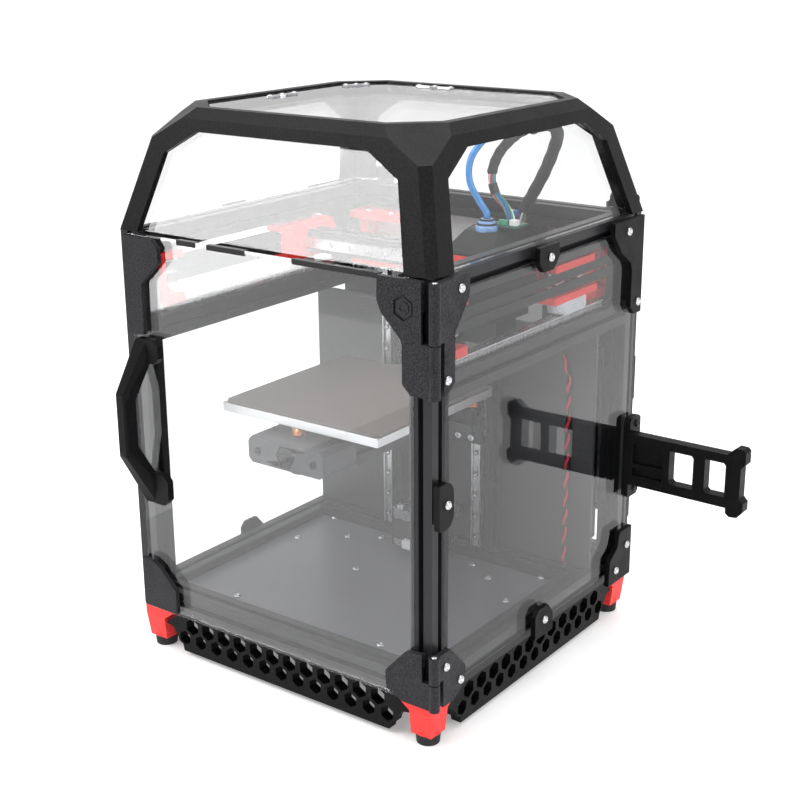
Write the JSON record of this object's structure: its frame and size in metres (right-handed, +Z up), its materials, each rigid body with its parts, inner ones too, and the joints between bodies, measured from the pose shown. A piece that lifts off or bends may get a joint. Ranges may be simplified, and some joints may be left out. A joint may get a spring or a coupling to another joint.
{
  "type": "enclosed desktop 3-D printer",
  "caption": "Small enclosed 3-D printer: slotted extrusion frame, hinged clear door, hinged faceted top hat, sliding gantry and toolhead, lifting heated bed, side spool arm",
  "frame": {"origin": "middle of the bounding box in X and Y, on the surface the rubber foot pads stand on", "axes": "+Z up, -Y towards the door at the front, +X towards the side with the spool arm"},
  "size_m": [0.3238, 0.2668, 0.35],
  "materials": {
    "aluminium": "machined, light tooling marks",
    "black_extrusion": "black anodised, satin",
    "black_print": "black printed plastic, fine layer lines and speckled texture",
    "blue_tube": "blue fluoropolymer tube",
    "build_sheet": "textured coating on spring steel",
    "clear_acrylic": "clear acrylic sheet, polished",
    "grey_panel": "matt dark grey sheet",
    "red_print": "red printed plastic, satin",
    "sleeve": "black braided sleeve over wires",
    "steel": "ground steel",
    "white_panel": "translucent white sheet"
  },
  "bodies": {
    "frame": {"frame_side_right": "black_extrusion", "frame_side_left": "black_extrusion", "rail_bottom_front": "black_extrusion", "rail_bottom_rear": "black_extrusion", "rail_top_rear": "black_extrusion", "lift_frame": "black_extrusion", "lift_rail_left": "steel", "lift_rail_right": "steel", "y_rail_right": "steel", "y_rail_left": "steel", "floor_panel": "grey_panel", "inner_back_panel": "grey_panel", "side_panel_right": "clear_acrylic", "side_panel_left": "clear_acrylic", "rear_panel": "white_panel", "foot_front_right": "red_print", "foot_front_left": "red_print", "foot_rear_right": "red_print", "foot_rear_left": "red_print", "skirt_front": "black_print", "skirt_rear": "black_print", "skirt_right": "black_print", "skirt_left": "black_print", "drive_unit_right": "red_print", "drive_unit_left": "red_print", "lift_motor": "steel", "power_box": "black_print", "spool_holder": "black_print", "clip_right_top": "black_print", "clip_right_front": "black_print", "clip_right_bottom": "black_print", "clip_right_rear_low": "black_print", "clip_right_rear_top": "black_print", "hinge_fixed_upper": "black_print", "hinge_fixed_lower": "black_print", "hat_hinge_right": "black_print", "hat_hinge_left": "black_print", "loom_anchor": "black_print"},
    "door": {"hinge_door_upper": "black_print", "hinge_door_lower": "black_print", "door_panel": "clear_acrylic", "door_latch_upper": "black_print", "door_latch_lower": "black_print", "door_handle": "black_print"},
    "top_hat": {"hat_frame": "black_print", "hat_windows": "clear_acrylic", "hat_top_panel": "clear_acrylic"},
    "gantry": {"xy_joint_right": "red_print", "xy_joint_left": "red_print", "cross_beam": "black_extrusion", "filament_tube": "blue_tube", "loom_front": "sleeve", "loom_rear": "sleeve"},
    "toolhead": {"toolhead": "black_print"},
    "bed": {"build_plate": "aluminium", "build_sheet": "build_sheet", "bed_carrier": "black_extrusion", "bed_front_mount": "black_print"},
    "screw": {"lead_screw": "steel"}
  },
  "joints": [
    {"name": "door_hinge", "type": "hinge", "parent": "frame", "child": "door", "pos_m": [0.07705, -0.11496, 0.1495], "axis": [0, 0, 1], "range_deg": [0, 150]},
    {"name": "top_hat_hinge", "type": "hinge", "parent": "frame", "child": "top_hat", "pos_m": [-0.04355, 0.12984, 0.2813], "axis": [-1, 0, 0], "range_deg": [0, 100]},
    {"name": "gantry_slide", "type": "slide", "parent": "frame", "child": "gantry", "axis": [0, 1, 0], "range_m": [-0.085, 0.022], "deforming": ["loom_rear"]},
    {"name": "toolhead_slide", "type": "slide", "parent": "gantry", "child": "toolhead", "axis": [1, 0, 0], "range_m": [-0.138, 0.002], "deforming": ["filament_tube", "loom_front"]},
    {"name": "bed_lift", "type": "slide", "parent": "frame", "child": "bed", "axis": [0, 0, 1], "range_m": [-0.052, 0.027]},
    {"name": "screw_spin", "type": "hinge", "parent": "frame", "child": "screw", "pos_m": [-0.04355, 0.04764, 0.1295], "axis": [0, 0, 1], "continuous": true}
  ],
  "couplings": [
    {"joint": "screw_spin", "follows": "bed_lift", "rad_per_m": 785.4}
  ]
}
